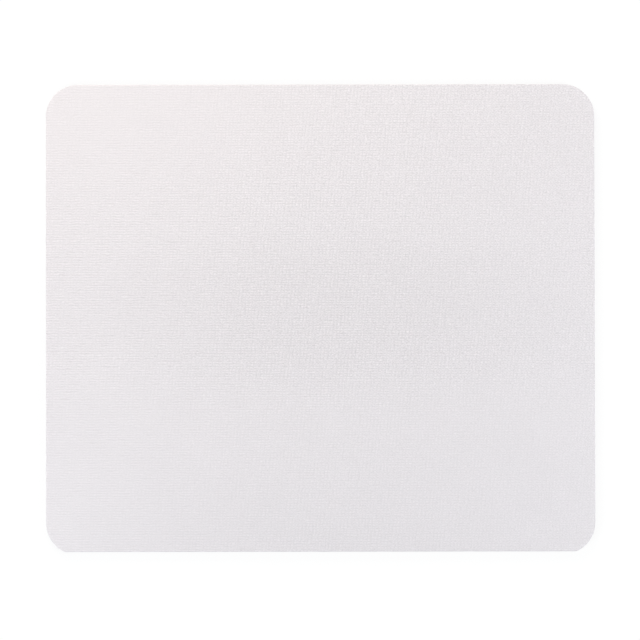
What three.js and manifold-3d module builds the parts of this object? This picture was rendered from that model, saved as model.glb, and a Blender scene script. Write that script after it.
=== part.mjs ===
// Plain cloth mouse pad: four sheets laminated into one and cut out in a single stroke. From the desk up they
// are an embossed rubber sole that grips the desk, a sponge rubber core that gives under the wrist, a hot-melt
// film that bonds the cloth, and the white polyester cloth that the mouse runs on.
// Millimetres. +X is to the user's right, +Y away from the user and +Z up. The origin is on the desk, under the
// middle of the pad.

import * as THREE from "three";
import { toCreasedNormals } from "three/addons/utils/BufferGeometryUtils.js";
import Module from "manifold-3d";

// Outline of the cut. The straight front edge is cut FRONT_TRIM inside the line that the front corner arcs
// would touch, so these two arcs end in a slight corner.
const PAD_WIDTH = 235;
const PAD_DEPTH = 200;
const CORNER_RADIUS = 13.7;
const FRONT_TRIM = 1.2;
const CORNER_STEPS = 12;

// Sheets
const SOLE_THICKNESS = 0.7;
const CORE_THICKNESS = 1.8;
const FILM_THICKNESS = 0.1;
const CLOTH_THICKNESS = 0.4;

// Cut edge. The squeezed sponge springs back hollow behind the knife, and the knife rolls the cloth over.
const CORE_HOLLOW = 0.2;
const CLOTH_ROLL = 0.2;
const EDGE_STEPS = 4;

// Tread of the sole: grooves that run from side to side in gentle waves, wider at the mouth than at the floor
const TREAD_PITCH = 6;
const TREAD_DEPTH = 0.35;
const GROOVE_MOUTH = 2.4;
const GROOVE_FLOOR = 1.4;
const WAVE_LENGTH = 60;
const WAVE_SWING = 4;
const WAVE_STEPS = 8;

// How far a cutting solid passes the face that it cuts
const CUT_OVERRUN = 0.5;

// Faces that meet at less than this angle are shaded as one surface
const SMOOTH_ANGLE = Math.PI / 6;

// Heights of the faces where the sheets are bonded, and of the working surface
const coreBottom = SOLE_THICKNESS;
const filmBottom = coreBottom + CORE_THICKNESS;
const clothBottom = filmBottom + FILM_THICKNESS;
const workingHeight = clothBottom + CLOTH_THICKNESS;

const wasm = await Module();
wasm.setup();

// The pad's outline at a height, drawn in by an inset: a ring of points, counter-clockwise seen from above.
function outlineRing(inset, height) {
  const radius = CORNER_RADIUS - inset;
  const side = PAD_WIDTH / 2 - CORNER_RADIUS;
  const back = PAD_DEPTH / 2 - CORNER_RADIUS;
  const front = CORNER_RADIUS - FRONT_TRIM - PAD_DEPTH / 2;
  const frontSweep = Math.asin(1 - FRONT_TRIM / radius);
  const shape = new THREE.Shape();
  shape.absarc(side, back, radius, 0, Math.PI / 2);
  shape.absarc(-side, back, radius, Math.PI / 2, Math.PI);
  shape.absarc(-side, front, radius, Math.PI, Math.PI + frontSweep);
  shape.absarc(side, front, radius, 2 * Math.PI - frontSweep, 2 * Math.PI);
  // A shape draws an arc in twice the divisions that it is asked for.
  return shape.getPoints(CORNER_STEPS / 2).map((point) => new THREE.Vector3(point.x, point.y, height));
}

// Closed solid through rings with equal numbers of points, from the lowest ring to the highest.
function loft(rings) {
  const count = rings[0].length;
  const top = (rings.length - 1) * count;
  const triangles = [];
  for (let ring = 0; ring < top; ring += count) {
    for (let point = 0; point < count; point++) {
      const here = ring + point;
      const next = ring + ((point + 1) % count);
      triangles.push(here, next, next + count);
      triangles.push(here, next + count, here + count);
    }
  }
  for (const [a, b, c] of THREE.ShapeUtils.triangulateShape(rings[0], [])) {
    triangles.push(c, b, a);
  }
  for (const [a, b, c] of THREE.ShapeUtils.triangulateShape(rings.at(-1), [])) {
    triangles.push(top + a, top + b, top + c);
  }
  const geometry = new THREE.BufferGeometry().setFromPoints(rings.flat());
  geometry.setIndex(triangles);
  return geometry;
}

function toManifold(geometry) {
  const mesh = new wasm.Mesh({
    numProp: 3,
    vertProperties: geometry.attributes.position.array,
    triVerts: new Uint32Array(geometry.index.array),
  });
  return new wasm.Manifold(mesh);
}

function fromManifold(solid) {
  const mesh = solid.getMesh();
  const geometry = new THREE.BufferGeometry();
  geometry.setAttribute("position", new THREE.BufferAttribute(mesh.vertProperties, 3));
  geometry.setIndex(new THREE.BufferAttribute(mesh.triVerts, 1));
  return geometry;
}

function sheetMesh(name, geometry, finish) {
  const mesh = new THREE.Mesh(toCreasedNormals(geometry, SMOOTH_ANGLE), new THREE.MeshStandardMaterial(finish));
  mesh.name = name;
  return mesh;
}

// Plan of one groove at a height: a band of the given width that waves about the line y = middle.
function grooveRing(middle, width, height) {
  const step = WAVE_LENGTH / WAVE_STEPS;
  const reach = Math.floor(PAD_WIDTH / 2 / step) + 1;
  const near = [];
  const far = [];
  for (let i = -reach; i <= reach; i++) {
    const wave = middle + WAVE_SWING * Math.cos((2 * Math.PI * i) / WAVE_STEPS);
    near.push(new THREE.Vector3(i * step, wave - width / 2, height));
    far.unshift(new THREE.Vector3(i * step, wave + width / 2, height));
  }
  return [...near, ...far];
}

// Solid that cuts one groove. Its walls keep their slope below the desk, so the mouth is true at the desk.
function grooveCutter(middle) {
  const slope = (GROOVE_MOUTH - GROOVE_FLOOR) / TREAD_DEPTH;
  const start = grooveRing(middle, GROOVE_MOUTH + slope * CUT_OVERRUN, -CUT_OVERRUN);
  const floor = grooveRing(middle, GROOVE_FLOOR, TREAD_DEPTH);
  return toManifold(loft([start, floor]));
}

// Non-slip rubber skin. The tread is embossed in the roll, so it runs out through the cut edge all round.
function gripSole() {
  const rows = Math.ceil((PAD_DEPTH / 2 + WAVE_SWING + GROOVE_MOUTH / 2) / TREAD_PITCH);
  let sole = toManifold(loft([outlineRing(0, 0), outlineRing(0, coreBottom)]));
  for (let row = -rows; row < rows; row++) {
    sole = sole.subtract(grooveCutter((row + 0.5) * TREAD_PITCH));
  }
  const rubber = { color: 0x171718, roughness: 0.8, metalness: 0 };
  return sheetMesh("grip_sole", fromManifold(sole), rubber);
}

// Sponge rubber sheet, the pad's thickness and cushioning, with its hollow cut side.
function foamCore() {
  const rings = [];
  for (let i = 0; i <= EDGE_STEPS; i++) {
    const share = i / EDGE_STEPS;
    const inset = CORE_HOLLOW * 4 * share * (1 - share);
    rings.push(outlineRing(inset, THREE.MathUtils.lerp(coreBottom, filmBottom, share)));
  }
  const sponge = { color: 0x202022, roughness: 0.95, metalness: 0 };
  return sheetMesh("foam_core", loft(rings), sponge);
}

// Hot-melt film between the sponge and the cloth, cut flush with both.
function bondFilm() {
  const film = { color: 0xd9d3c6, roughness: 0.4, metalness: 0 };
  return sheetMesh("bond_film", loft([outlineRing(0, filmBottom), outlineRing(0, clothBottom)]), film);
}

// Woven polyester face, whose upper edge the knife has rolled over.
function clothTop() {
  const rings = [outlineRing(0, clothBottom)];
  for (let i = 0; i <= EDGE_STEPS; i++) {
    const turn = ((i / EDGE_STEPS) * Math.PI) / 2;
    const drop = CLOTH_ROLL * (1 - Math.sin(turn));
    rings.push(outlineRing(CLOTH_ROLL * (1 - Math.cos(turn)), workingHeight - drop));
  }
  const cloth = { color: 0xe8e5e7, roughness: 0.9, metalness: 0 };
  return sheetMesh("cloth_top", loft(rings), cloth);
}

const mousePad = new THREE.Group();
mousePad.add(gripSole(), foamCore(), bondFilm(), clothTop());

export default mousePad;
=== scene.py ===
import math
import random

import bmesh
import bpy
from mathutils import Matrix, Vector


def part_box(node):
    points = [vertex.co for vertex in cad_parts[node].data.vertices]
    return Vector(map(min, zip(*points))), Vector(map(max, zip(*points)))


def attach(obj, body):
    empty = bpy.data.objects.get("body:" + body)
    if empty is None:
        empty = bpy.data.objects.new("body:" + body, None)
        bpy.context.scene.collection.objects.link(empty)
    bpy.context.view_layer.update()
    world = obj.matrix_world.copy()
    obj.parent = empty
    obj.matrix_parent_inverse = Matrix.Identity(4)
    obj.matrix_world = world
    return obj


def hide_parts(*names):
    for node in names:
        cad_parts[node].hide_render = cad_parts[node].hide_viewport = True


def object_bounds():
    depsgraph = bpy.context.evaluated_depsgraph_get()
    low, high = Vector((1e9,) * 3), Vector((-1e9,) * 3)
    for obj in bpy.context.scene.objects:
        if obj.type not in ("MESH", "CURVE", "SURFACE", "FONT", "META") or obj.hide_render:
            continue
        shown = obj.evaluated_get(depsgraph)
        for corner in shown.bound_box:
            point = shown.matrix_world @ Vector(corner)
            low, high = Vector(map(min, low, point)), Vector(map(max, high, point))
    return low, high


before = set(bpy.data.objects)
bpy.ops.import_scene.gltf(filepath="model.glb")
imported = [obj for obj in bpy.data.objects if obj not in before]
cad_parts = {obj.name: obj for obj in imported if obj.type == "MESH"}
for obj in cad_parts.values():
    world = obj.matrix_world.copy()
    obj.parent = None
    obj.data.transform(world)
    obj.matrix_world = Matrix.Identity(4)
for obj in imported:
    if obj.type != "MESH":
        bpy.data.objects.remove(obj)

cad_low, cad_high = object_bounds()


# Sole. The pad stands on a thin skin of solid black rubber, embossed in the roll with a tread of waving ribs
# that grip the desk. One straight rib is modelled, repeated side by side, swung into waves, and cut out of
# the roll with the pad's outline.
CORNER_RADIUS = 0.0137
CORNER_STEPS = 24
FRONT_TRIM = 0.0012
TREAD_PITCH = 0.006
TREAD_DEPTH = 0.00035
GROOVE_MOUTH = 0.0024
GROOVE_FLOOR = 0.0014
RIB_ROUNDING = 0.00016
RIB_ROUNDING_STEPS = 3
RIB_EDGE_ANGLE = math.radians(20)
RIB_CUTS = 95
WAVE_LENGTH = 0.06
WAVE_SWING = 0.004
ROLL_MARGIN = 0.006
KNIFE_OVERRUN = 0.001
TOLERANCE = 1e-6
NEARLY_ALL = 0.9
SOLE_SMOOTHING = math.radians(35)

sole_low, sole_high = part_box("grip_sole")
pad_width = sole_high.x - sole_low.x
pad_depth = sole_high.y - sole_low.y
roll_width = pad_width + 2 * ROLL_MARGIN
rib_root = TREAD_PITCH - GROOVE_FLOOR
rib_land = TREAD_PITCH - GROOVE_MOUTH


def pick(piece):
    """Makes the piece the only one that is selected."""
    bpy.ops.object.select_all(action="DESELECT")
    piece.select_set(True)
    bpy.context.view_layer.objects.active = piece


def take_up(name):
    """Names the primitive that was just added, and opens it in edit mode."""
    piece = bpy.context.object
    piece.name = piece.data.name = name
    bpy.ops.object.mode_set(mode="EDIT")
    return piece


def select_where(piece, kind, test):
    """Selects the vertices, edges or faces of the piece in edit mode that pass the test, and nothing else."""
    bpy.ops.mesh.select_mode(type=kind)
    bpy.ops.mesh.select_all(action="DESELECT")
    mesh = bmesh.from_edit_mesh(piece.data)
    parts = {"VERT": mesh.verts, "EDGE": mesh.edges, "FACE": mesh.faces}[kind]
    for part in parts:
        if test(part):
            part.select_set(True)
    bmesh.update_edit_mesh(piece.data)


def close_solid():
    """Fills the open sides of the piece in edit mode, turns its faces outwards and leaves edit mode."""
    bpy.ops.mesh.select_all(action="SELECT")
    bpy.ops.mesh.fill_holes(sides=0)
    bpy.ops.mesh.select_all(action="SELECT")
    bpy.ops.mesh.normals_make_consistent(inside=False)
    bpy.ops.object.mode_set(mode="OBJECT")


def apply_modifier(piece, kind, **settings):
    """Adds a modifier to the piece and applies it."""
    pick(piece)
    modifier = piece.modifiers.new(kind.lower(), kind)
    for name, value in settings.items():
        setattr(modifier, name, value)
    bpy.ops.object.modifier_apply(modifier=modifier.name)


def smooth(piece, angle):
    """Shades faces that meet at less than the angle as one surface."""
    pick(piece)
    bpy.ops.object.shade_smooth_by_angle(angle=angle)


def cut_outline(name, height, corner_steps):
    """A flat face with the pad's outline, left selected in edit mode. The corners are punched round. Then the
    front is cut straight, so that the front arcs end FRONT_TRIM short of touching it."""
    bpy.ops.object.select_all(action="DESELECT")
    bpy.ops.mesh.primitive_plane_add(size=1, location=(0, 0, 0))
    blank = take_up(name)
    bpy.ops.transform.resize(value=(pad_width, pad_depth + FRONT_TRIM, 1))
    bpy.ops.transform.translate(value=(0, -FRONT_TRIM / 2, height))
    bpy.ops.mesh.bevel(offset=CORNER_RADIUS, segments=corner_steps, affect="VERTICES")
    bpy.ops.mesh.select_all(action="SELECT")
    bpy.ops.mesh.bisect(
        plane_co=(0, -pad_depth / 2, 0),
        plane_no=(0, 1, 0),
        threshold=TOLERANCE,
        clear_inner=True,
    )
    bpy.ops.mesh.select_all(action="SELECT")
    return blank


def outline_knife(low, high):
    """A solid with the pad's outline between two heights, left in edit mode."""
    knife = cut_outline("knife", low, CORNER_STEPS)
    bpy.ops.mesh.extrude_region_move(TRANSFORM_OT_translate={"value": (0, 0, high - low)})
    return knife


def cut_out(piece, knife):
    """Keeps what lies inside the knife's solid, and takes the knife away."""
    bpy.ops.object.mode_set(mode="OBJECT")
    apply_modifier(piece, "BOOLEAN", operation="INTERSECT", solver="MANIFOLD", object=knife)
    bpy.data.objects.remove(knife)


def extent(edge):
    """How far the edge reaches along each axis."""
    step = edge.verts[1].co - edge.verts[0].co
    return Vector(abs(value) for value in step)


def runs_along(edge):
    """Whether the edge runs the whole length of the rib."""
    return extent(edge).x > NEARLY_ALL * roll_width


def is_rib_edge(edge):
    """Whether the edge is a corner of the rib's section, which the embossing roller leaves rounded."""
    return runs_along(edge) and len(edge.link_faces) == 2 and edge.calc_face_angle() > RIB_EDGE_ANGLE


def is_rib_foot(face):
    """Whether the face is the strip on the underside that the rib grows from."""
    return face.normal.z < -NEARLY_ALL and abs(face.calc_center_median().y) < TOLERANCE


bpy.ops.object.select_all(action="DESELECT")
bpy.ops.mesh.primitive_cube_add(size=1, location=(0, 0, 0))
sole = take_up("wave_sole")
bpy.ops.transform.resize(value=(roll_width, TREAD_PITCH, sole_high.z - TREAD_DEPTH))
bpy.ops.transform.translate(value=(0, 0, (sole_high.z + TREAD_DEPTH) / 2))
for side in (-1, 1):
    bpy.ops.mesh.select_all(action="SELECT")
    bpy.ops.mesh.bisect(plane_co=(0, side * rib_root / 2, 0), plane_no=(0, 1, 0))
select_where(sole, "FACE", is_rib_foot)
bpy.ops.mesh.extrude_region_move(TRANSFORM_OT_translate={"value": (0, 0, -TREAD_DEPTH)})
bpy.ops.transform.resize(value=(1, rib_land / rib_root, 1))
select_where(sole, "FACE", lambda face: abs(face.normal.y) > NEARLY_ALL)
bpy.ops.mesh.delete(type="FACE")
select_where(sole, "EDGE", is_rib_edge)
bpy.ops.mesh.bevel(offset=RIB_ROUNDING, segments=RIB_ROUNDING_STEPS, affect="EDGES")
select_where(sole, "EDGE", runs_along)
bpy.ops.mesh.subdivide(number_cuts=RIB_CUTS)
bpy.ops.object.mode_set(mode="OBJECT")

ribs_each_side = math.ceil((pad_depth / 2 + WAVE_SWING) / TREAD_PITCH)
sole.data.transform(Matrix.Translation((0, -ribs_each_side * TREAD_PITCH, 0)))
apply_modifier(
    sole,
    "ARRAY",
    count=2 * ribs_each_side + 1,
    use_relative_offset=False,
    use_constant_offset=True,
    constant_offset_displace=(0, TREAD_PITCH, 0),
    use_merge_vertices=True,
    merge_threshold=TOLERANCE,
)
bpy.ops.object.mode_set(mode="EDIT")
close_solid()
for vert in sole.data.vertices:
    vert.co.y += WAVE_SWING * math.cos(math.tau * vert.co.x / WAVE_LENGTH)
cut_out(sole, outline_knife(sole_low.z - KNIFE_OVERRUN, sole_high.z + KNIFE_OVERRUN))
smooth(sole, SOLE_SMOOTHING)

# Each piece that is modelled here has a map of its own for baked textures.
# The faces that show get nearly all of its room, so that weave and pores stay sharp.
MAP_NAME = "OFBake"
SHOWN_SHARE = 0.93
BONDED_SHARE = 0.06
FOLD_ROOM = 0.001
SIDE_TILT = 0.3


def lay_map(piece, place):
    """Gives the piece a map, on which place says where a point of a face lies."""
    layer = piece.data.uv_layers[0]
    layer.name = MAP_NAME
    for face in piece.data.polygons:
        for corner in face.loop_indices:
            point = piece.data.vertices[piece.data.loops[corner].vertex_index].co
            layer.uv[corner].vector = place(face, point)


def sheet_place(face, point, facing, rim_height):
    """Where a point of a sheet lies on its map. The side that shows, facing 1 for up or -1 for down, fills
    nearly all of it, with the cut edge folded out round it. The bonded side is small in a corner."""
    spot = point.xy
    if abs(face.normal.z) < SIDE_TILT:
        spot += abs(point.z - rim_height) * face.normal.xy.normalized()
    across = 0.5 + facing * spot.x / (pad_width + 2 * FOLD_ROOM)
    up = 0.5 + spot.y / (pad_depth + 2 * FOLD_ROOM)
    if facing * face.normal.z < -SIDE_TILT:
        return (1 - across) * BONDED_SHARE, 1 - (1 - up) * BONDED_SHARE
    return across, up * SHOWN_SHARE


lay_map(sole, lambda face, point: sheet_place(face, point, -1, sole_low.z))


def feed(tree, node, inputs):
    """Gives each named input of a shader node its value, or the socket that feeds it."""
    for name, value in inputs.items():
        if isinstance(value, bpy.types.NodeSocket):
            tree.links.new(value, node.inputs[name])
        else:
            node.inputs[name].default_value = value


def add_node(tree, kind, inputs, **settings):
    """Adds a shader node with its settings, and feeds its inputs."""
    node = tree.nodes.new("ShaderNode" + kind)
    for name, value in settings.items():
        setattr(node, name, value)
    feed(tree, node, inputs)
    return node


def worked(tree, operation, *values):
    """The socket with the result of a sum on numbers and sockets."""
    return add_node(tree, "Math", dict(enumerate(values)), operation=operation).outputs[0]


def eased(tree, value, start, end, low=0.0, high=1.0):
    """The socket of a value that goes smoothly from low at start to high at end, and stays there."""
    inputs = {"Value": value, "From Min": start, "From Max": end, "To Min": low, "To Max": high}
    return add_node(tree, "MapRange", inputs, interpolation_type="SMOOTHSTEP").outputs[0]


# The Mix node's sockets for colours have numbers, because each of their names is there more than once.
MIX_SHARE = 0
MIX_FIRST = 6
MIX_SECOND = 7
MIX_RESULT = 2


def blended(tree, share, first, second, how="MIX"):
    """The socket of a colour between two others, or of the two multiplied."""
    inputs = {MIX_SHARE: share, MIX_FIRST: first, MIX_SECOND: second}
    return add_node(tree, "Mix", inputs, data_type="RGBA", blend_type=how).outputs[MIX_RESULT]


def bumped(tree, height, relief):
    """The socket of the surface's normal, bent by a height."""
    return add_node(tree, "Bump", {"Height": height, **relief}).outputs["Normal"]


def new_material(name):
    """A new material: itself, its tree, its surface shader and the socket of the piece's own coordinates."""
    material = bpy.data.materials.new(name)
    material.use_nodes = True
    tree = material.node_tree
    place = add_node(tree, "TexCoord", {}).outputs["Object"]
    return material, tree, tree.nodes["Principled BSDF"], place


def new_group(name, sizes, result):
    """An empty node group that takes a place and some sizes and gives one value. Returns it with the
    sockets that it is given and the node that its result goes into."""
    group = bpy.data.node_groups.new(name, "ShaderNodeTree")
    group.interface.new_socket("Place", in_out="INPUT", socket_type="NodeSocketVector")
    for size in sizes:
        group.interface.new_socket(size, in_out="INPUT", socket_type="NodeSocketFloat")
    group.interface.new_socket(result, in_out="OUTPUT", socket_type="NodeSocketFloat")
    return group, group.nodes.new("NodeGroupInput").outputs, group.nodes.new("NodeGroupOutput")


def placed(tree, group, place, sizes):
    """Puts a node group in a material with its own sizes, and returns the socket of its result."""
    return add_node(tree, "Group", {"Place": place, **sizes}, node_tree=group).outputs[0]


def dress(piece, material):
    """Gives the whole piece one material."""
    piece.data.materials.clear()
    piece.data.materials.append(material)


# Clouds of slightly lighter and darker tone, as in any compounded rubber, film or dyed cloth.
CLOUD_DETAIL = 3

uneven_tone, given, end = new_group("uneven tone", ("Cloud Size", "Depth"), "Tone")
scale = worked(uneven_tone, "DIVIDE", 1, given["Cloud Size"])
clouds = add_node(
    uneven_tone,
    "TexNoise",
    {"Vector": given["Place"], "Scale": scale, "Detail": CLOUD_DETAIL},
)
swing = worked(uneven_tone, "MULTIPLY_ADD", clouds.outputs["Fac"], 2, -1)
feed(uneven_tone, end, {"Tone": worked(uneven_tone, "MULTIPLY_ADD", swing, given["Depth"], 1)})

# Fine grain of a surface, as a height from 0 to 1.
GRAIN_DETAIL = 4

fine_grain, given, end = new_group("fine grain", ("Grain Size",), "Height")
scale = worked(fine_grain, "DIVIDE", 1, given["Grain Size"])
grain = add_node(
    fine_grain,
    "TexNoise",
    {"Vector": given["Place"], "Scale": scale, "Detail": GRAIN_DETAIL},
)
feed(fine_grain, end, {"Height": grain.outputs["Fac"]})

# Specks of lint and dust, which black rubber picks up. Only a share of the places has one.
SPECK_RIM = 0.2
SPECK_MIDDLE = 0.06

lint_specks, given, end = new_group("lint specks", ("Spacing", "Share"), "Specks")
scale = worked(lint_specks, "DIVIDE", 1, given["Spacing"])
spots = add_node(lint_specks, "TexVoronoi", {"Vector": given["Place"], "Scale": scale}).outputs
chance = add_node(lint_specks, "SeparateColor", {"Color": spots["Color"]}).outputs["Red"]
there = worked(lint_specks, "LESS_THAN", chance, given["Share"])
speck = eased(lint_specks, spots["Distance"], SPECK_RIM, SPECK_MIDDLE)
feed(lint_specks, end, {"Specks": worked(lint_specks, "MULTIPLY", there, speck)})

# The rubber: black, scuffed grey on the lands that rub on the desk.
SOLE_COLOUR = (0.009, 0.009, 0.010, 1)
SOLE_TONE = {"Cloud Size": 0.03, "Depth": 0.25}
SCUFF_COLOUR = (0.017, 0.017, 0.018, 1)
SCUFF_REACH = 0.00007
SCUFF_PATCHES = {"Cloud Size": 0.04, "Depth": 1}
SCUFF_TONES = (0.3, 1.7)
LINT_COLOUR = (0.17, 0.165, 0.155, 1)
SOLE_LINT = {"Spacing": 0.004, "Share": 0.12}
SOLE_LINT_STRENGTH = 0.6
SOLE_GRAIN = {"Grain Size": 0.0004}
SOLE_RELIEF = {"Distance": 0.0001, "Strength": 0.8}
SOLE_ROUGHNESS = (0.68, 0.78)
SOLE_SPECULAR = 0.45

embossed_rubber, tree, surface, place = new_material("embossed_rubber")
height = add_node(tree, "SeparateXYZ", {"Vector": place}).outputs["Z"]
patches = eased(tree, placed(tree, uneven_tone, place, SCUFF_PATCHES), *SCUFF_TONES)
scuff = worked(tree, "MULTIPLY", eased(tree, height, SCUFF_REACH, 0), patches)
rubber = blended(tree, scuff, SOLE_COLOUR, SCUFF_COLOUR)
rubber = blended(tree, 1, rubber, placed(tree, uneven_tone, place, SOLE_TONE), "MULTIPLY")
lint = worked(tree, "MULTIPLY", placed(tree, lint_specks, place, SOLE_LINT), SOLE_LINT_STRENGTH)
feed(
    tree,
    surface,
    {
        "Base Color": blended(tree, lint, rubber, LINT_COLOUR),
        "Roughness": eased(tree, scuff, 0, 1, *SOLE_ROUGHNESS),
        "Normal": bumped(tree, placed(tree, fine_grain, place, SOLE_GRAIN), SOLE_RELIEF),
        "Specular IOR Level": SOLE_SPECULAR,
    },
)
dress(sole, embossed_rubber)

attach(sole, "root")
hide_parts("grip_sole")


# Core. A sheet of black sponge rubber is bonded to the sole and gives the pad its thickness. The knife has
# cut its side through the cells, so it shows open pores, and the sponge that was squeezed under the knife
# springs back hollow.
WALL_STEP = 0.00016
WALL_CUTS = 35
WALL_CUT_ROUNDS = 2
WALL_ROWS = 14
CORE_CORNER_STEPS = 134
CORE_HOLLOW = 0.0002
PORE_SIZE = 0.0004
PORE_DEPTH = 0.00018
PORE_LEVEL = 1.3
PORE_SPREAD = 2
CORE_SMOOTHING = math.radians(60)

core_low, core_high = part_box("foam_core")
core_height = core_high.z - core_low.z
core = cut_outline("sponge_core", core_low.z, CORE_CORNER_STEPS)
bpy.ops.mesh.delete(type="ONLY_FACE")
for _ in range(WALL_CUT_ROUNDS):
    select_where(core, "EDGE", lambda edge: edge.calc_length() > 2 * WALL_STEP)
    bpy.ops.mesh.subdivide(number_cuts=WALL_CUTS)
bpy.ops.mesh.select_all(action="SELECT")
bpy.ops.mesh.extrude_region_move(TRANSFORM_OT_translate={"value": (0, 0, core_height)})
select_where(core, "EDGE", lambda edge: extent(edge).z > core_height / 2)
bpy.ops.mesh.subdivide(number_cuts=WALL_ROWS - 1)
bpy.ops.mesh.select_all(action="SELECT")
bpy.ops.mesh.normals_make_consistent(inside=False)
bpy.ops.object.mode_set(mode="OBJECT")

# The cut side bows in. Its pores are only ever sunk, and deepest away from the bonded faces.
outward = [vert.normal.copy() for vert in core.data.vertices]
open_cells = core.vertex_groups.new(name="open cells")
for vert, normal in zip(core.data.vertices, outward):
    share = (vert.co.z - core_low.z) / core_height
    bow = 4 * share * (1 - share)
    vert.co -= CORE_HOLLOW * bow * normal
    open_cells.add([vert.index], min(1, PORE_SPREAD * bow), "REPLACE")
unpitted = [vert.co.copy() for vert in core.data.vertices]
pores = bpy.data.textures.new("pores", "VORONOI")
pores.noise_scale = PORE_SIZE
apply_modifier(
    core,
    "DISPLACE",
    texture=pores,
    strength=PORE_DEPTH,
    mid_level=PORE_LEVEL,
    texture_coords="LOCAL",
    vertex_group=open_cells.name,
)
depth = core.data.attributes.new("pore_depth", "FLOAT", "POINT")
for vert, before in zip(core.data.vertices, unpitted):
    depth.data[vert.index].value = (vert.co - before).length / PORE_DEPTH
bpy.ops.object.mode_set(mode="EDIT")
close_solid()
smooth(core, CORE_SMOOTHING)

# The core's map holds the cut side in strips, one above the other.
WALL_STRIPS = 20
STRIP_LENGTH_SHARE = 0.98
STRIP_HEIGHT_SHARE = 0.9


def way_round(point):
    """How far round the pad a point lies, from 0 to 1."""
    return math.atan2(point.y, point.x) / math.tau % 1


def core_place(face, point):
    """Where a point of the core lies on its map. The two bonded faces are small in the upper corners."""
    if face.area > pad_width * core_height:
        across = (0.5 + point.x / pad_width) * BONDED_SHARE
        up = 1 - (0.5 + point.y / pad_depth) * BONDED_SHARE
        return (across, up) if face.normal.z < 0 else (1 - across, up)
    turn = way_round(face.center)
    strip = math.floor(turn * WALL_STRIPS)
    past_middle = (way_round(point) - turn + 0.5) % 1 - 0.5
    length_share = (turn + past_middle) * WALL_STRIPS - strip
    height_share = (point.z - core_low.z) / core_height
    across = 0.5 + (length_share - 0.5) * STRIP_LENGTH_SHARE
    up = (strip + height_share * STRIP_HEIGHT_SHARE) / WALL_STRIPS
    return across, up * SHOWN_SHARE


lay_map(core, core_place)

# The sponge: black. The pores are painted darker than the cut cell walls, as painted shade in the hollows.
PORE_SHADE_COLOUR = (0.005, 0.005, 0.005, 1)
CELL_WALL_COLOUR = (0.030, 0.030, 0.031, 1)
PORE_FLOOR = (0.6, 1.1)
FINE_PORE = 0.00018
FINE_PORE_RIM = (0.5, 0.25)
FINE_PORE_SLOPE = (0.2, 0.6)
CORE_TONE = {"Cloud Size": 0.004, "Depth": 0.35}
CORE_LINT = {"Spacing": 0.003, "Share": 0.05}
CORE_LINT_STRENGTH = 0.4
CORE_RELIEF = {"Distance": 0.00006, "Strength": 0.8}
CORE_ROUGHNESS = (0.82, 0.97)
CORE_SPECULAR = 0.3

cut_sponge, tree, surface, place = new_material("cut_sponge")
sunk = add_node(tree, "Attribute", {}, attribute_name="pore_depth").outputs["Fac"]
cells = add_node(tree, "TexVoronoi", {"Vector": place, "Scale": 1 / FINE_PORE}).outputs["Distance"]
# Painted shade: darker the deeper a pore is sunk, and in the fine pits.
pitted = worked(tree, "MAXIMUM", eased(tree, sunk, *PORE_FLOOR), eased(tree, cells, *FINE_PORE_RIM))
sponge = blended(tree, pitted, CELL_WALL_COLOUR, PORE_SHADE_COLOUR)
sponge = blended(tree, 1, sponge, placed(tree, uneven_tone, place, CORE_TONE), "MULTIPLY")
lint = worked(tree, "MULTIPLY", placed(tree, lint_specks, place, CORE_LINT), CORE_LINT_STRENGTH)
feed(
    tree,
    surface,
    {
        "Base Color": blended(tree, lint, sponge, LINT_COLOUR),
        "Roughness": eased(tree, pitted, 0, 1, *CORE_ROUGHNESS),
        "Normal": bumped(tree, eased(tree, cells, *FINE_PORE_SLOPE), CORE_RELIEF),
        "Specular IOR Level": CORE_SPECULAR,
    },
)
dress(core, cut_sponge)

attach(core, "root")
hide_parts("foam_core")


# Film. A thin hot-melt film is laid on the sponge and glues the cloth to it under a heated roller. It shows
# only as a pale line at the cut edge. The CAD sheet has its true shape, so it stays and only gets its finish.
FILM_COLOUR = (0.70, 0.66, 0.57, 1)
FILM_TONE = {"Cloud Size": 0.002, "Depth": 0.18}
FILM_GRAIN = {"Grain Size": 0.0003}
FILM_RELIEF = {"Distance": 0.00002, "Strength": 0.5}
FILM_ROUGHNESS = (0.3, 0.5)
GRAIN_HEIGHTS = (0.3, 0.7)

glue_film, tree, surface, place = new_material("glue_film")
grain = placed(tree, fine_grain, place, FILM_GRAIN)
tone = placed(tree, uneven_tone, place, FILM_TONE)
feed(
    tree,
    surface,
    {
        "Base Color": blended(tree, 1, FILM_COLOUR, tone, "MULTIPLY"),
        "Roughness": eased(tree, grain, *GRAIN_HEIGHTS, *FILM_ROUGHNESS),
        "Normal": bumped(tree, grain, FILM_RELIEF),
    },
)
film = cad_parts["bond_film"]
dress(film, glue_film)


# Cloth. White polyester in a plain weave of fine threads, which bunch into ribs. The warp runs away from the
# user and leans a little, because the cloth was pulled as it was rolled on to the film. Each crossing of two
# ribs is a small crown, and the knife has rolled the cut edge over.
WARP_PITCH = 0.001487
WEFT_PITCH = 0.001087
WARP_LEAN = 0.0888
CROWN_HEIGHT = 0.00005
CLOTH_ROLL = 0.0002
ROLL_STEPS = 4
SPARE_RIBS = 2
THIN_YARN = 0.6
YARN_SEED = 5
KNIFE_CLEARANCE = 0.00001
CLOTH_SMOOTHING = math.radians(40)

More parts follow.
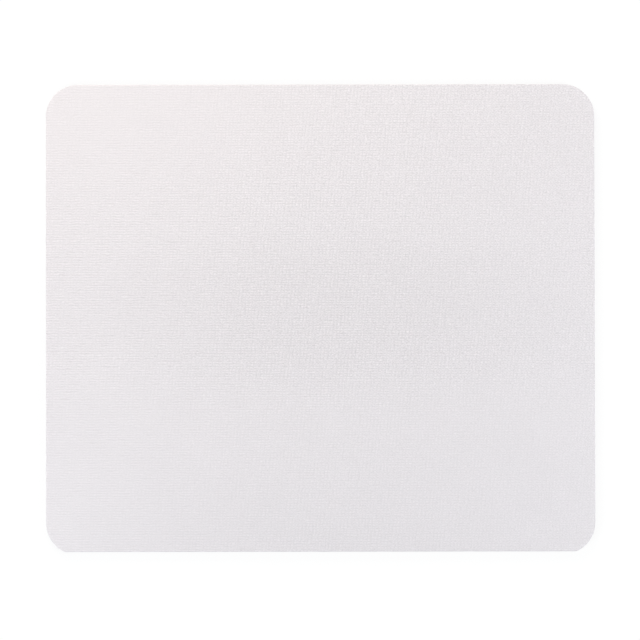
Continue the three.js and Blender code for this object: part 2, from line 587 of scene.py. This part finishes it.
cloth_low, cloth_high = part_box("cloth_top")
crown_foot = cloth_high.z - CROWN_HEIGHT
crossings_across = 2 * math.ceil((pad_width + WARP_LEAN * pad_depth) / 2 / WARP_PITCH + SPARE_RIBS) + 1
crossings_along = 2 * math.ceil(pad_depth / 2 / WEFT_PITCH + SPARE_RIBS) + 1
bpy.ops.object.select_all(action="DESELECT")
bpy.ops.mesh.primitive_grid_add(
    x_subdivisions=crossings_across,
    y_subdivisions=crossings_along,
    size=1,
    location=(0, 0, 0),
)
cloth = take_up("woven_cloth")
bpy.ops.transform.resize(value=(crossings_across * WARP_PITCH, crossings_along * WEFT_PITCH, 1))
bpy.ops.transform.translate(value=(0, 0, crown_foot))
bpy.ops.mesh.select_mode(type="FACE")
bpy.ops.mesh.select_all(action="SELECT")
bpy.ops.mesh.poke(offset=CROWN_HEIGHT)
select_where(cloth, "EDGE", lambda edge: len(edge.link_faces) == 1)
bpy.ops.mesh.extrude_region_move(TRANSFORM_OT_translate={"value": (0, 0, cloth_low.z - crown_foot)})
close_solid()

# No two yarns are equally thick, and at each crossing the warp and the weft take turns on top.
yarn = random.Random(YARN_SEED)
warp_swell = [yarn.uniform(THIN_YARN, 1) for _ in range(crossings_across)]
weft_swell = [yarn.uniform(THIN_YARN, 1) for _ in range(crossings_along)]
for vert in cloth.data.vertices:
    if vert.co.z > cloth_high.z - CROWN_HEIGHT / 2:
        warp = round(vert.co.x / WARP_PITCH)
        weft = round(vert.co.y / WEFT_PITCH)
        swell = warp_swell[warp] if (warp + weft) % 2 else weft_swell[weft]
        vert.co.z -= CROWN_HEIGHT * (1 - swell)
    vert.co.x += WARP_LEAN * vert.co.y

knife = outline_knife(cloth_low.z - KNIFE_OVERRUN, cloth_high.z + KNIFE_CLEARANCE)
select_where(knife, "EDGE", lambda edge: min(vert.co.z for vert in edge.verts) > cloth_high.z)
bpy.ops.mesh.bevel(offset=CLOTH_ROLL, segments=ROLL_STEPS, affect="EDGES")
cut_out(cloth, knife)
smooth(cloth, CLOTH_SMOOTHING)
lay_map(cloth, lambda face, point: sheet_place(face, point, 1, cloth_high.z))

# The weave in colour and relief. Its colour is painted shade: lighter where yarns and threads stand up,
# darker between them and where threads dive under, with random dashes of tone along the threads.
CLOTH_WHITE = (0.850, 0.815, 0.832, 1)
CLOTH_TONE = {"Cloud Size": 0.02, "Depth": 0.01}

# Its marks of painted shade: their tone in the middle of the pad, and the shares of it that show on the left
# and the right.
WARP_SHOWS = (0.049, 0.38, 0.68)
WEFT_SHOWS = (0.075, 1.08, 0.57)
CROSSINGS_SHOW = (0.042, 0.5, 0.95)
DASHES_SHOW = (0.36, 0.5, 0.95)
SIDE_REACH = 0.1

# Its yarns and threads. The noise that unsettles them is another pattern in each layer.
YARN_WANDER = 1.0
WANDER_SIZE = (0.0016, 0.003)
WANDER_DETAIL = 1
WARP_LAYER = 3.5
WEFT_LAYER = 7.5
RAISED_YARN = (0.3, 0.7)
DASH_SIZE = (0.0004, 0.0009)
DASH_DETAIL = 0
WARP_DASH_LAYER = 11.5
WEFT_DASH_LAYER = 15.5
THREADS_PER_RIB = (4, 3)
THREAD_ROUNDING = 2
THREAD_DIVE = 0.5
THREAD_MEAN = 0.2
THREAD_TONE = 0.05

# Where the weave's painted shade is fainter, and patches of painted shade, faint darker bands across the
# cloth. A patch has its centre, its reach each way and the share that is left in its middle.
FAINT_SHADE_FRONT = (-0.015, -0.045)
FRONT_SHARE = 0.57
FAINT_SHADE_CORNER = ((-0.11, 0.1), (0.17, 0.06), 0.5)
# Painted shade: two faint darker bands, across the middle of the cloth and near its front.
PAINTED_SHADE_PATCHES = (
    ((0.005, 0.002), (0.15, 0.045), 0.97),
    ((-0.03, -0.1), (0.12, 0.045), 0.98),
)
PATCH_MIDDLE = 0.2
# Painted shade on the rolled cut edge, and on the sides and underside below it.
RIM_SHADE = 0.92

# Its fibres, relief and gloss.
FIBRE_GRAIN = {"Grain Size": 0.0001}
FIBRE_HEIGHT = 0.5
MARK_HEIGHT = 5
CLOTH_RELIEF = {"Distance": 0.00008, "Strength": 0.6}
CLOTH_ROUGHNESS = (0.84, 0.95)
CLOTH_SPECULAR = 0.2
CLOTH_SHEEN = 0.06
CLOTH_SHEEN_ROUGHNESS = 0.5

white_weave, tree, surface, place = new_material("white_weave")
spot = add_node(tree, "SeparateXYZ", {"Vector": place}).outputs
across = worked(tree, "MULTIPLY_ADD", spot["Y"], -WARP_LEAN, spot["X"])
straight = add_node(tree, "CombineXYZ", {"X": across, "Y": spot["Y"]}).outputs[0]


def drawn_noise(size, layer, detail):
    """Noise drawn out along the yarns, as three values. Another layer gives another pattern."""
    inputs = {0: straight, 1: (1 / size[0], 1 / size[1], 0), 2: (0, 0, layer)}
    drawn = add_node(tree, "VectorMath", inputs, operation="MULTIPLY_ADD").outputs[0]
    noise = add_node(tree, "TexNoise", {"Vector": drawn, "Scale": 1, "Detail": detail}).outputs["Color"]
    return add_node(tree, "SeparateColor", {"Color": noise}).outputs


def ribs(distance, pitch, noise):
    """Ribs of one family of yarns, and how far they stand out. The yarns wander from their places, and each
    stands out only for a few millimetres at a time."""
    place_in_row = worked(tree, "DIVIDE", distance, pitch)
    yarns = worked(tree, "MULTIPLY_ADD", noise["Green"], YARN_WANDER, place_in_row)
    rib = worked(tree, "COSINE", worked(tree, "MULTIPLY", yarns, math.tau))
    return rib, worked(tree, "MULTIPLY", rib, eased(tree, noise["Blue"], *RAISED_YARN))


def threads(count_across, count_along):
    """Height of threads that lie side by side and dive under every other thread that crosses them."""
    number = worked(tree, "FLOOR", count_across)
    off_middle = worked(tree, "SUBTRACT", worked(tree, "FRACT", count_across), 0.5)
    squared = worked(tree, "MULTIPLY", off_middle, off_middle)
    round_top = worked(tree, "MULTIPLY", squared, -THREAD_ROUNDING)
    crossed = worked(tree, "ADD", number, count_along)
    dive = worked(tree, "COSINE", worked(tree, "MULTIPLY", crossed, math.pi))
    return worked(tree, "MULTIPLY_ADD", dive, THREAD_DIVE, round_top)


def showing(mark, tone, left, right):
    """A mark of the weave's painted shade at its tone in the middle of the pad. Towards the left and the
    right it shows more or less of it."""
    share = eased(tree, spot["X"], 0, -SIDE_REACH, tone, tone * left)
    share = worked(tree, "MULTIPLY", share, eased(tree, spot["X"], 0, SIDE_REACH, 1, right))
    return worked(tree, "MULTIPLY", mark, share)


def in_patch(centre, reach, share):
    """A factor that is the share in the middle of an oval patch, and 1 outside it."""
    from_centre = add_node(tree, "VectorMath", {0: place, 1: (*centre, 0)}, operation="SUBTRACT").outputs[0]
    inputs = {0: from_centre, 1: (1 / reach[0], 1 / reach[1], 0)}
    scaled = add_node(tree, "VectorMath", inputs, operation="MULTIPLY").outputs[0]
    far_out = add_node(tree, "VectorMath", {0: scaled}, operation="LENGTH").outputs["Value"]
    return eased(tree, far_out, PATCH_MIDDLE, 1, share, 1)


warp, raised_warp = ribs(across, WARP_PITCH, drawn_noise(WANDER_SIZE, WARP_LAYER, WANDER_DETAIL))
weft, raised_weft = ribs(spot["Y"], WEFT_PITCH, drawn_noise(WANDER_SIZE[::-1], WEFT_LAYER, WANDER_DETAIL))
crossings = worked(tree, "MULTIPLY", warp, weft)

# Each thread shows its own dashes of tone where it lies on top.
fine_warp = worked(tree, "DIVIDE", across, WARP_PITCH / THREADS_PER_RIB[0])
fine_weft = worked(tree, "DIVIDE", spot["Y"], WEFT_PITCH / THREADS_PER_RIB[1])
warp_height = threads(fine_warp, worked(tree, "SUBTRACT", fine_weft, 0.5))
weft_height = threads(fine_weft, worked(tree, "ADD", fine_warp, 0.5))
thread_height = worked(tree, "MAXIMUM", warp_height, weft_height)
warp_on_top = worked(tree, "GREATER_THAN", warp_height, weft_height)
warp_dash = drawn_noise(DASH_SIZE, WARP_DASH_LAYER, DASH_DETAIL)["Green"]
weft_dash = drawn_noise(DASH_SIZE[::-1], WEFT_DASH_LAYER, DASH_DETAIL)["Green"]
dash_change = worked(tree, "SUBTRACT", warp_dash, weft_dash)
dashes = worked(tree, "MULTIPLY_ADD", warp_on_top, dash_change, weft_dash)
dashes = worked(tree, "SUBTRACT", dashes, 0.5)

# The weave's painted shade between and under the yarns, fainter towards the front and in the back left
# corner.
weave = showing(raised_warp, *WARP_SHOWS)
weave = worked(tree, "ADD", weave, showing(raised_weft, *WEFT_SHOWS))
weave = worked(tree, "ADD", weave, showing(crossings, *CROSSINGS_SHOW))
weave = worked(tree, "ADD", weave, showing(dashes, *DASHES_SHOW))
weave = worked(tree, "MULTIPLY", weave, eased(tree, spot["Y"], *FAINT_SHADE_FRONT, 1, FRONT_SHARE))
weave = worked(tree, "MULTIPLY", weave, in_patch(*FAINT_SHADE_CORNER))
# Painted shade of the threads: lighter on their tops, darker at their sides and where they dive under.
thread_tone = worked(tree, "SUBTRACT", thread_height, THREAD_MEAN)
weave = worked(tree, "MULTIPLY_ADD", thread_tone, THREAD_TONE, weave)

tone = worked(tree, "ADD", weave, placed(tree, uneven_tone, place, CLOTH_TONE))
# Painted shade: the cloth is a little darker in two bands, across its middle and near its front.
for patch in PAINTED_SHADE_PATCHES:
    tone = worked(tree, "MULTIPLY", tone, in_patch(*patch))
# Painted shade: the rolled cut edge and everything below it are darker.
rim_shade = eased(tree, spot["Z"], cloth_high.z - CLOTH_ROLL, crown_foot, RIM_SHADE, 1)
tone = worked(tree, "MULTIPLY", tone, rim_shade)
fibres = placed(tree, fine_grain, place, FIBRE_GRAIN)
raised = worked(tree, "MULTIPLY_ADD", weave, MARK_HEIGHT, thread_height)
raised = worked(tree, "MULTIPLY_ADD", fibres, FIBRE_HEIGHT, raised)
feed(
    tree,
    surface,
    {
        "Base Color": blended(tree, 1, CLOTH_WHITE, tone, "MULTIPLY"),
        "Roughness": eased(tree, fibres, *GRAIN_HEIGHTS, *CLOTH_ROUGHNESS),
        "Normal": bumped(tree, raised, CLOTH_RELIEF),
        "Specular IOR Level": CLOTH_SPECULAR,
        "Sheen Weight": CLOTH_SHEEN,
        "Sheen Roughness": CLOTH_SHEEN_ROUGHNESS,
    },
)
dress(cloth, white_weave)

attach(cloth, "root")
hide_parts("cloth_top")


# Stage. A plain white floor under the pad, which stays white to the camera and keeps a trace of the pad's
# shadow. Away from the lamps it glows more, so that it runs into the white room. It is open to a look from
# below.
FLOOR_SIZE = 6
FLOOR_GAP = 0.00003
FLOOR_GLOW = 0.915
FLOOR_SHADOW = (0.1, 0.1, 0.1, 1)
FLOOR_COLOUR = (0.8, 0.8, 0.8, 1)
LAMP_REACH = (0.3, 1.6)
ROOM_COLOUR = (1, 1, 1, 1)
ROOM_LIGHT = 0.2
ROOM_WHITE = 1.0

bpy.ops.object.select_all(action="DESELECT")
bpy.ops.mesh.primitive_plane_add(size=FLOOR_SIZE, location=(0, 0, cad_low.z - FLOOR_GAP))
floor = bpy.context.object
floor.name = "floor"


def seen_by_camera(tree):
    """A socket that is 1 for what the camera sees, straight, in a reflection or through glass."""
    path = add_node(tree, "LightPath", {}).outputs
    mirrored = worked(tree, "MAXIMUM", path["Is Glossy Ray"], path["Is Transmission Ray"])
    return worked(tree, "MAXIMUM", path["Is Camera Ray"], mirrored)


white_floor, tree, surface, place = new_material("white_floor")
far_off = add_node(tree, "VectorMath", {0: place}, operation="LENGTH").outputs["Value"]
glow_level = eased(tree, far_off, *LAMP_REACH, FLOOR_GLOW, ROOM_WHITE)
glow = add_node(tree, "Emission", {"Strength": glow_level}).outputs[0]
trace = add_node(tree, "BsdfDiffuse", {"Color": FLOOR_SHADOW}).outputs[0]
shown = add_node(tree, "AddShader", {0: glow, 1: trace}).outputs[0]
plain = add_node(tree, "BsdfDiffuse", {"Color": FLOOR_COLOUR}).outputs[0]
upper = add_node(tree, "MixShader", {0: seen_by_camera(tree), 1: plain, 2: shown}).outputs[0]
from_below = add_node(tree, "NewGeometry", {}).outputs["Backfacing"]
clear = add_node(tree, "BsdfTransparent", {}).outputs[0]
whole = add_node(tree, "MixShader", {0: from_below, 1: upper, 2: clear}).outputs[0]
feed(tree, tree.nodes["Material Output"], {"Surface": whole})
tree.nodes.remove(surface)
dress(floor, white_floor)

room = bpy.data.worlds.new("room")
bpy.context.scene.world = room
room.use_nodes = True
tree = room.node_tree
strength = worked(tree, "MULTIPLY_ADD", seen_by_camera(tree), ROOM_WHITE - ROOM_LIGHT, ROOM_LIGHT)
feed(tree, tree.nodes["Background"], {"Color": ROOM_COLOUR, "Strength": strength})


# Lamps. Three square soft boxes stand round the pad: a warm one behind on the left, and cooler ones in front
# on the left and on the right. Their places give the slow change of tone over the cloth.
LAMP_SIZE = 0.35
LAMPS = (
    ("back_lamp", (-0.21, 0.552, 0.30), 3.19, (1.06, 1.0, 0.93)),
    ("front_lamp", (-0.452, -0.353, 0.30), 2.29, (0.95, 1.0, 1.05)),
    ("right_lamp", (0.599, -0.084, 0.30), 2.75, (0.95, 1.0, 1.05)),
)

for name, lamp_place, power, tint in LAMPS:
    lamp = bpy.data.objects.new(name, bpy.data.lights.new(name, "AREA"))
    bpy.context.scene.collection.objects.link(lamp)
    lamp.data.size = LAMP_SIZE
    lamp.data.energy = power
    lamp.data.color = tint
    lamp.location = lamp_place
    lamp.rotation_euler = (-Vector(lamp_place)).to_track_quat("-Z", "Y").to_euler()
    lamp.visible_camera = False


# Camera. A long lens looks at the pad from straight above, leaning back and turned by a hair, so that the
# cloth fills the frame's width but for a narrow margin.
CAMERA_LENS = 85
SENSOR_WIDTH = 36
VIEW_WIDTH = 0.27395
CAMERA_AIM = Vector((-0.00017, -0.00092, cad_high.z))
CAMERA_TILT = math.radians(0.4)
CAMERA_ROLL = math.radians(-0.1)

camera = bpy.data.objects.new("camera", bpy.data.cameras.new("camera"))
bpy.context.scene.collection.objects.link(camera)
camera.data.lens = CAMERA_LENS
camera.data.sensor_width = SENSOR_WIDTH
camera_distance = VIEW_WIDTH * CAMERA_LENS / SENSOR_WIDTH
away = Vector((0, -math.sin(CAMERA_TILT), math.cos(CAMERA_TILT)))
camera.rotation_euler = (CAMERA_TILT, 0, CAMERA_ROLL)
camera.location = CAMERA_AIM + camera_distance * away
bpy.context.scene.camera = camera
bpy.context.scene.view_settings.view_transform = "Standard"
